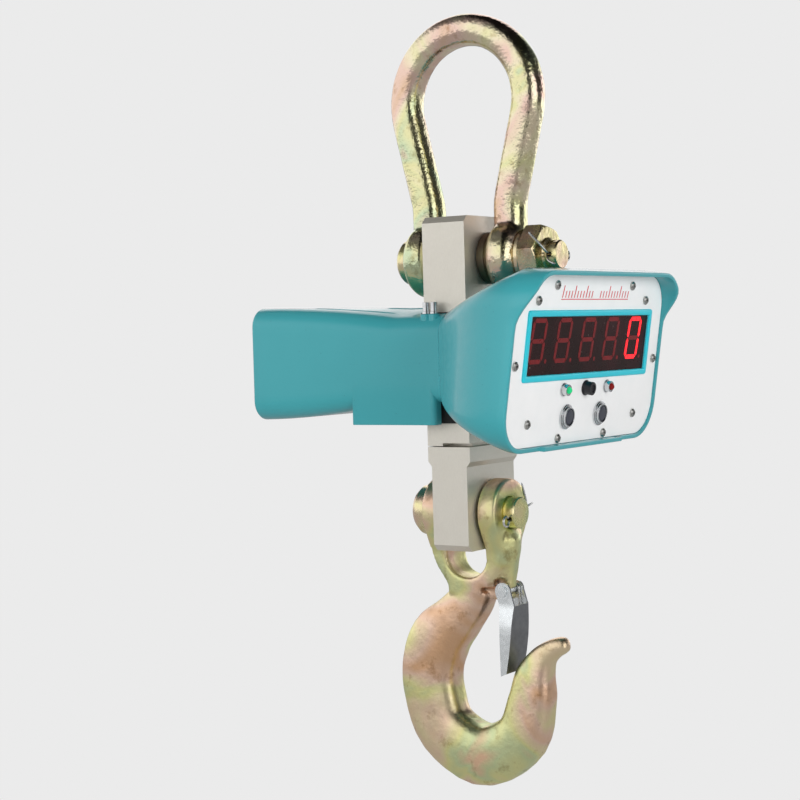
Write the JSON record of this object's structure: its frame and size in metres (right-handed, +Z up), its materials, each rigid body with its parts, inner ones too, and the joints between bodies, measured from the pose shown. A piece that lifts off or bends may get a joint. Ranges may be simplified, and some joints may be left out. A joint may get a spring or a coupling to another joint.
{
  "type": "hanging crane scale",
  "caption": "Hanging crane scale: bow shackle over a bar load cell, flared digital display housing with a battery tube behind, and a latched clevis hook below.",
  "frame": {"origin": "where the hoist's hook bears: the inside of the shackle's crown, on its middle plane", "axes": "+Z up; the display faces -Y; +X is to the right of a person reading the display; the hook lies in the YZ plane with its tip towards -Y"},
  "size_m": [0.212, 0.2707, 0.5396],
  "materials": {
    "yellow_zinc": "yellow-chromate zinc plate, semi-gloss",
    "nickel_steel": "satin nickel plate",
    "bright_steel": "bright zinc plate",
    "teal_paint": "semi-gloss enamel",
    "rubber": "matt",
    "panel_film": "satin film",
    "cyan_trim": "gloss",
    "window_red": "dark gloss",
    "digit_block": "dark gloss",
    "circuit_board": "solder mask",
    "brass_posts": "machined",
    "black_parts": "matt",
    "battery_case": "matt",
    "bracket_steel": "zinc plate",
    "green_lens": "clear lens",
    "red_lens": "clear lens",
    "button_black": "satin"
  },
  "bodies": {
    "shackle": {"shackle_bow": "yellow_zinc", "upper_pin": "yellow_zinc", "spacer_ring": "nickel_steel", "upper_washer": "yellow_zinc", "upper_nut": "yellow_zinc", "upper_cotter": "bright_steel"},
    "scale": {"load_cell": "nickel_steel", "gauge_covers": "bright_steel", "cell_lead": "rubber", "chassis_left": "bracket_steel", "chassis_right": "bracket_steel", "chassis_bolts": "bright_steel", "front_housing": "teal_paint", "rear_housing": "teal_paint", "belly_cover": "teal_paint", "housing_bolts": "bright_steel", "top_seal": "rubber", "bottom_seal": "rubber", "rear_gasket": "rubber", "rear_cover": "teal_paint", "rear_screws": "bright_steel", "charge_socket": "bright_steel", "battery_tray": "bracket_steel", "battery": "battery_case", "battery_strap": "bracket_steel", "panel_gasket": "rubber", "front_panel": "panel_film", "panel_screws": "bright_steel", "window_frame": "cyan_trim", "display_filter": "window_red", "display_board": "circuit_board", "digit_1": "digit_block", "digit_2": "digit_block", "digit_3": "digit_block", "digit_4": "digit_block", "digit_5": "digit_block", "board_standoffs": "brass_posts", "main_board": "circuit_board", "board_parts": "black_parts", "lamp_bezels": "bright_steel", "green_lamp": "green_lens", "red_lamp": "red_lens", "infrared_receiver": "black_parts", "button_left_body": "bright_steel", "button_right_body": "bright_steel", "button_nuts": "bright_steel", "button_springs": "bright_steel"},
    "hook_body": {"hook": "yellow_zinc", "lower_pin": "yellow_zinc", "lower_cotter": "bright_steel", "latch_rivet": "bright_steel"},
    "latch_body": {"latch": "bright_steel", "latch_spring": "bright_steel"},
    "button_left": {"button_left_cap": "button_black"},
    "button_right": {"button_right_cap": "button_black"}
  },
  "joints": [
    {"name": "cell_swing", "type": "hinge", "parent": "shackle", "child": "scale", "pos_m": [0, 0.0025, -0.148], "axis": [0, 1, 0], "range_deg": [-90, 90]},
    {"name": "hook_swing", "type": "hinge", "parent": "scale", "child": "hook_body", "pos_m": [0, 0.0025, -0.3245], "axis": [0, 1, 0], "range_deg": [-90, 90]},
    {"name": "latch_hinge", "type": "hinge", "parent": "hook_body", "child": "latch_body", "pos_m": [0, -0.0245, -0.3785], "axis": [1, 0, 0], "range_deg": [0, 30], "stiffness_Nm_per_rad": 0.15, "springref_deg": -20.05},
    {"name": "button_left_press", "type": "slide", "parent": "scale", "child": "button_left", "axis": [0, 0.989, 0.1478], "range_m": [0, 0.0015], "stiffness_N_per_m": 400, "springref_m": -0.001},
    {"name": "button_right_press", "type": "slide", "parent": "scale", "child": "button_right", "axis": [0, 0.989, 0.1478], "range_m": [0, 0.0015], "stiffness_N_per_m": 400, "springref_m": -0.001}
  ]
}
